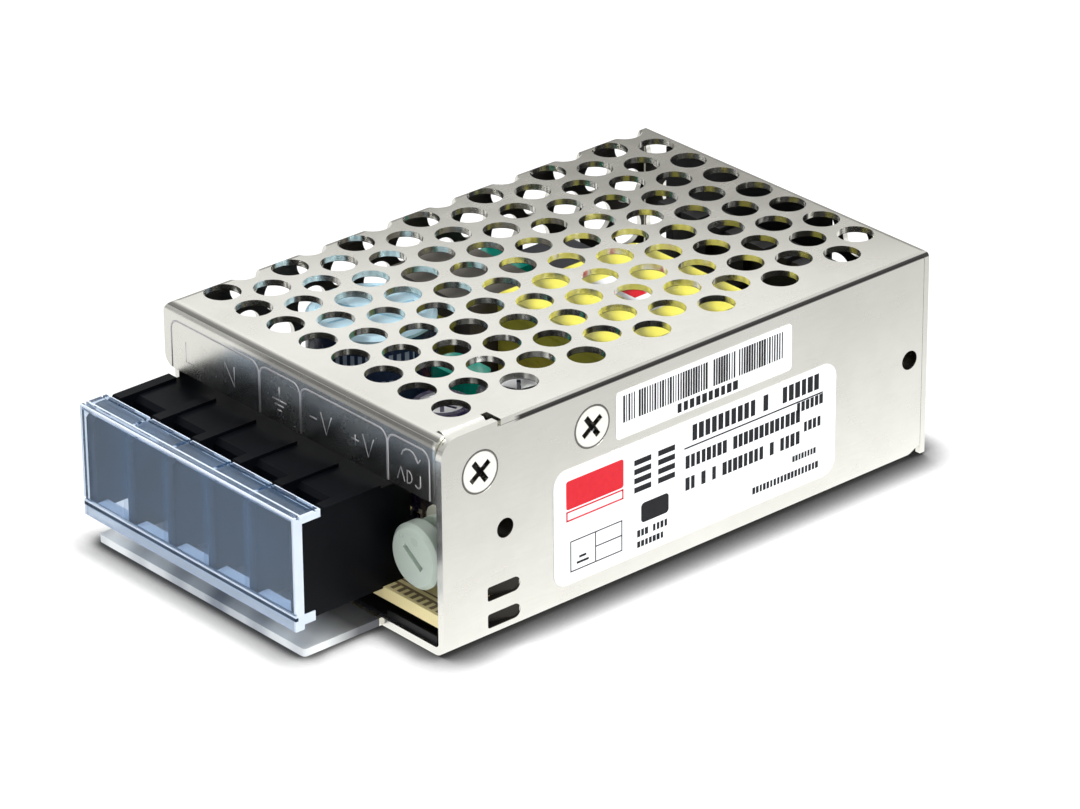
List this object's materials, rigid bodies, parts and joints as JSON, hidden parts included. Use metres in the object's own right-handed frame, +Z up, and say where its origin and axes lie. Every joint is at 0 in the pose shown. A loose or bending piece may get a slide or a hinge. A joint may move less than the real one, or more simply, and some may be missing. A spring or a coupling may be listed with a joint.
{
  "type": "enclosed mesh case switching power supply",
  "caption": "Small enclosed power supply: folded bright case with a perforated cover, barrier terminals behind a clear guard, and an output trimmer.",
  "frame": {"origin": "under the middle of the whole part, on the plane of the case's underside", "axes": "+Y from the terminals to the back of the case, +X towards the labelled wall, +Z up"},
  "size_m": [0.0511, 0.091, 0.028],
  "materials": {
    "board_standoffs": "plated",
    "bridge_rectifier": "moulding",
    "bulk_capacitor": "shrink sleeve",
    "chassis": "bright nickel-plated sheet",
    "circuit_board": "paper laminate",
    "clamp_washer": "nickel-plated",
    "controller_ic": "moulding",
    "cover": "bright nickel-plated sheet",
    "diode_heat_spreader": "mill finish",
    "film_capacitor": "dipped",
    "fuse": "moulding",
    "insulation_film": "thin film",
    "label_paper": "coated label",
    "line_choke_core": "ferrite",
    "line_choke_winding": "tape",
    "optocoupler": "moulding",
    "output_capacitor_1": "shrink sleeve",
    "output_capacitor_2": "shrink sleeve",
    "output_diode": "moulding",
    "output_inductor": "ferrite drum",
    "primary_heatsink": "black anodised",
    "resistors": "lacquer",
    "screw_steel": "nickel-plated",
    "small_capacitors": "shrink sleeve",
    "switching_transistor": "moulding",
    "terminal_block": "glossy moulding",
    "terminal_contacts": "tin-plated",
    "terminal_cover": "clear moulding",
    "terminal_screw": "nickel-plated",
    "thermistor": "dipped",
    "transformer_bobbin": "moulding",
    "transformer_core": "ferrite",
    "transformer_winding": "polyester tape",
    "trimmer_body": "moulding",
    "trimmer_knob": "milky moulding",
    "varistor": "dipped",
    "x_capacitor": "moulded box",
    "y_capacitors": "dipped"
  },
  "bodies": {
    "supply": {"chassis": "chassis", "cover": "cover", "cover_screws": "screw_steel", "heatsink_screw": "screw_steel", "insulation_film": "insulation_film", "rating_label": "label_paper", "serial_label": "label_paper", "terminal_block": "terminal_block", "terminal_contacts": "terminal_contacts", "trimmer_body": "trimmer_body", "circuit_board": "circuit_board", "board_standoffs": "board_standoffs", "board_screws": "screw_steel", "fuse": "fuse", "thermistor": "thermistor", "varistor": "varistor", "x_capacitor": "x_capacitor", "y_capacitors": "y_capacitors", "line_choke_core": "line_choke_core", "line_choke_winding": "line_choke_winding", "bridge_rectifier": "bridge_rectifier", "bulk_capacitor": "bulk_capacitor", "switching_transistor": "switching_transistor", "primary_heatsink": "primary_heatsink", "controller_ic": "controller_ic", "transformer_core": "transformer_core", "transformer_bobbin": "transformer_bobbin", "transformer_winding": "transformer_winding", "film_capacitor_front": "film_capacitor", "film_capacitor_side": "film_capacitor", "optocoupler": "optocoupler", "output_diode": "output_diode", "diode_heat_spreader": "diode_heat_spreader", "output_capacitor_1": "output_capacitor_1", "output_capacitor_2": "output_capacitor_2", "output_inductor": "output_inductor", "resistors": "resistors", "small_capacitors": "small_capacitors"},
    "terminal_cover": {"terminal_cover": "terminal_cover"},
    "screw_1": {"terminal_screw_1": "terminal_screw", "clamp_washer_1": "clamp_washer"},
    "screw_2": {"terminal_screw_2": "terminal_screw", "clamp_washer_2": "clamp_washer"},
    "screw_3": {"terminal_screw_3": "terminal_screw", "clamp_washer_3": "clamp_washer"},
    "screw_4": {"terminal_screw_4": "terminal_screw", "clamp_washer_4": "clamp_washer"},
    "screw_5": {"terminal_screw_5": "terminal_screw", "clamp_washer_5": "clamp_washer"},
    "trimmer_knob": {"trimmer_knob": "trimmer_knob"}
  },
  "joints": [
    {"name": "adjuster_turn", "type": "hinge", "parent": "supply", "child": "trimmer_knob", "pos_m": [0.0199, -0.03232, 0.011], "axis": [0, -1, 0], "range_deg": [-130, 130]},
    {"name": "terminal_cover_pull", "type": "slide", "parent": "supply", "child": "terminal_cover", "axis": [0, -1, 0], "range_m": [0, 0.015]},
    {"name": "screw_1_back_out", "type": "slide", "parent": "supply", "child": "screw_1", "axis": [0, -1, 0], "range_m": [0, 0.003]},
    {"name": "screw_2_back_out", "type": "slide", "parent": "supply", "child": "screw_2", "axis": [0, -1, 0], "range_m": [0, 0.003]},
    {"name": "screw_3_back_out", "type": "slide", "parent": "supply", "child": "screw_3", "axis": [0, -1, 0], "range_m": [0, 0.003]},
    {"name": "screw_4_back_out", "type": "slide", "parent": "supply", "child": "screw_4", "axis": [0, -1, 0], "range_m": [0, 0.003]},
    {"name": "screw_5_back_out", "type": "slide", "parent": "supply", "child": "screw_5", "axis": [0, -1, 0], "range_m": [0, 0.003]}
  ]
}
